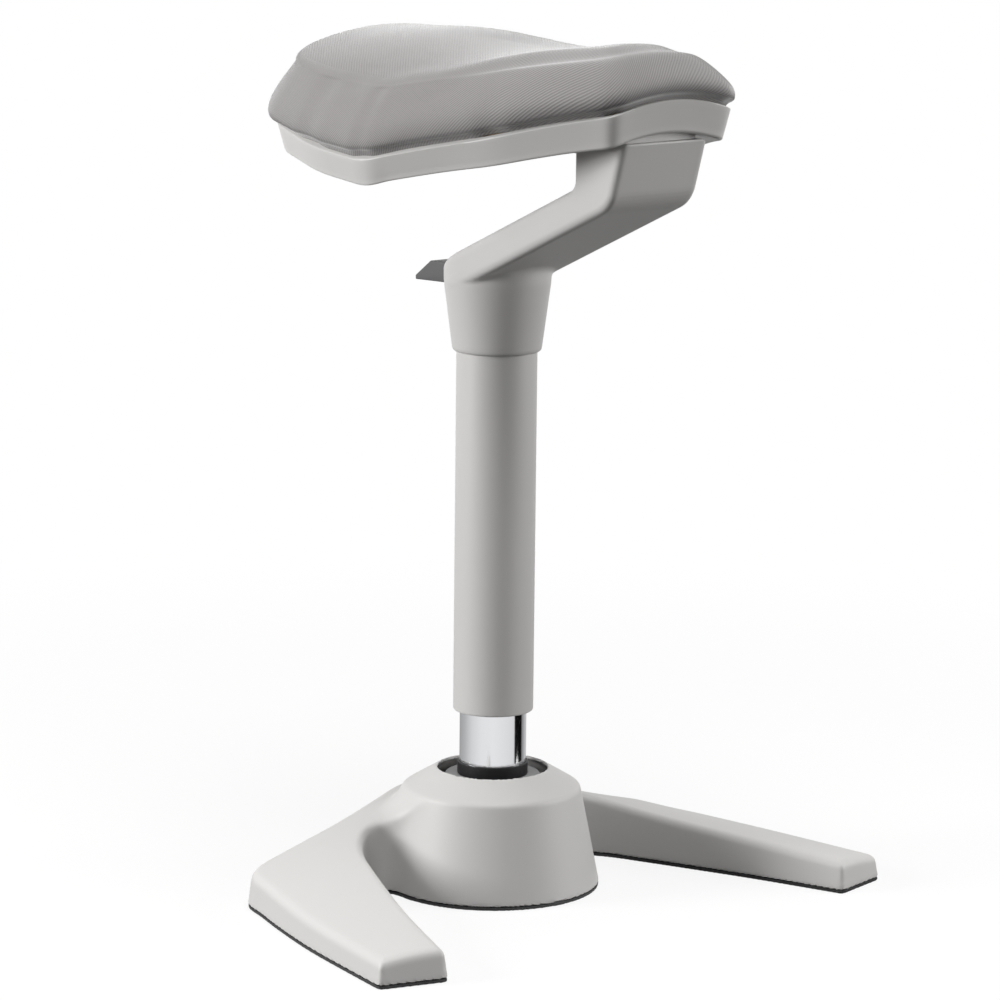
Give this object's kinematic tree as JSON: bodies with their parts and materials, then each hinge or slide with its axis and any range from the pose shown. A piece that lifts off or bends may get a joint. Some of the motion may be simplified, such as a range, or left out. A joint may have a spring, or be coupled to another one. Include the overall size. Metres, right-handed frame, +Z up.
{
  "type": "sit-stand perching stool",
  "caption": "Perching stool: saddle cushion on a cranked arm, gas height column with cover tube, tilting bearing in a low dome base with splayed legs.",
  "frame": {"origin": "on the floor, on the column's axis", "axes": "+Z up; the seat's nose and the open side of the base face -Y; the sitter's right is -X"},
  "size_m": [0.48, 0.3522, 0.6416],
  "materials": {
    "cover_grey": "matte",
    "cast_grey": "painted matte",
    "sole_black": "matte",
    "steel": "satin",
    "rubber_black": "matte",
    "chrome": "polished",
    "plastic_black": "matte",
    "disc_grey": "matte",
    "cage_plastic": "satin",
    "cylinder_black": "satin",
    "lever_grey": "satin",
    "pan_grey": "satin",
    "plywood": "natural",
    "fabric": "ribbed weave"
  },
  "bodies": {
    "base": {"base_cover": "cast_grey", "sole": "sole_black", "base_plate": "steel", "plate_screws": "steel", "bearing_race": "steel", "race_bolts": "steel"},
    "rubber_mount": {"rubber_ring": "rubber_black"},
    "column": {"column_ball": "steel", "stand_tube": "chrome", "top_disc": "disc_grey", "foot_collar": "plastic_black", "guide_bush": "plastic_black", "lower_washer": "steel", "ball_cage": "cage_plastic", "thrust_balls": "steel"},
    "rod": {"upper_washer": "steel", "buffer": "rubber_black", "piston_rod": "steel", "piston": "steel", "rod_clip": "steel"},
    "lift": {"gas_cylinder": "cylinder_black", "rod_guide": "plastic_black", "cover_tube": "cover_grey", "slide_bush": "plastic_black", "arm": "cast_grey", "lever_pin": "steel", "seat_pan": "pan_grey", "arm_screws": "steel", "seat_board": "plywood", "tee_nuts": "steel", "board_screws": "steel", "cushion": "fabric"},
    "lever": {"lever": "lever_grey"},
    "valve_pin": {"release_pin": "steel"}
  },
  "joints": [
    {"name": "tilt_fore_aft", "type": "hinge", "parent": "base", "child": "rubber_mount", "pos_m": [0, 0, 0.046], "axis": [1, 0, 0], "range_deg": [-6, 6], "stiffness_Nm_per_rad": 1200},
    {"name": "tilt_sideways", "type": "hinge", "parent": "rubber_mount", "child": "column", "pos_m": [0, 0, 0.046], "axis": [0, 1, 0], "range_deg": [-6, 6], "stiffness_Nm_per_rad": 1200},
    {"name": "seat_swivel", "type": "hinge", "parent": "column", "child": "rod", "pos_m": [0, 0, 0.034], "axis": [0, 0, 1], "continuous": true},
    {"name": "seat_height", "type": "slide", "parent": "rod", "child": "lift", "axis": [0, 0, 1], "range_m": [0, 0.2]},
    {"name": "lever_pull", "type": "hinge", "parent": "lift", "child": "lever", "pos_m": [0, 0.022, 0.4618], "axis": [1, 0, 0], "range_deg": [0, 8], "stiffness_Nm_per_rad": 1, "springref_deg": -11.46},
    {"name": "release_press", "type": "slide", "parent": "lift", "child": "valve_pin", "axis": [0, 0, -1], "range_m": [0, 0.0035]}
  ],
  "couplings": [
    {"joint": "release_press", "follows": "lever_pull", "m_per_rad": 0.0236}
  ]
}
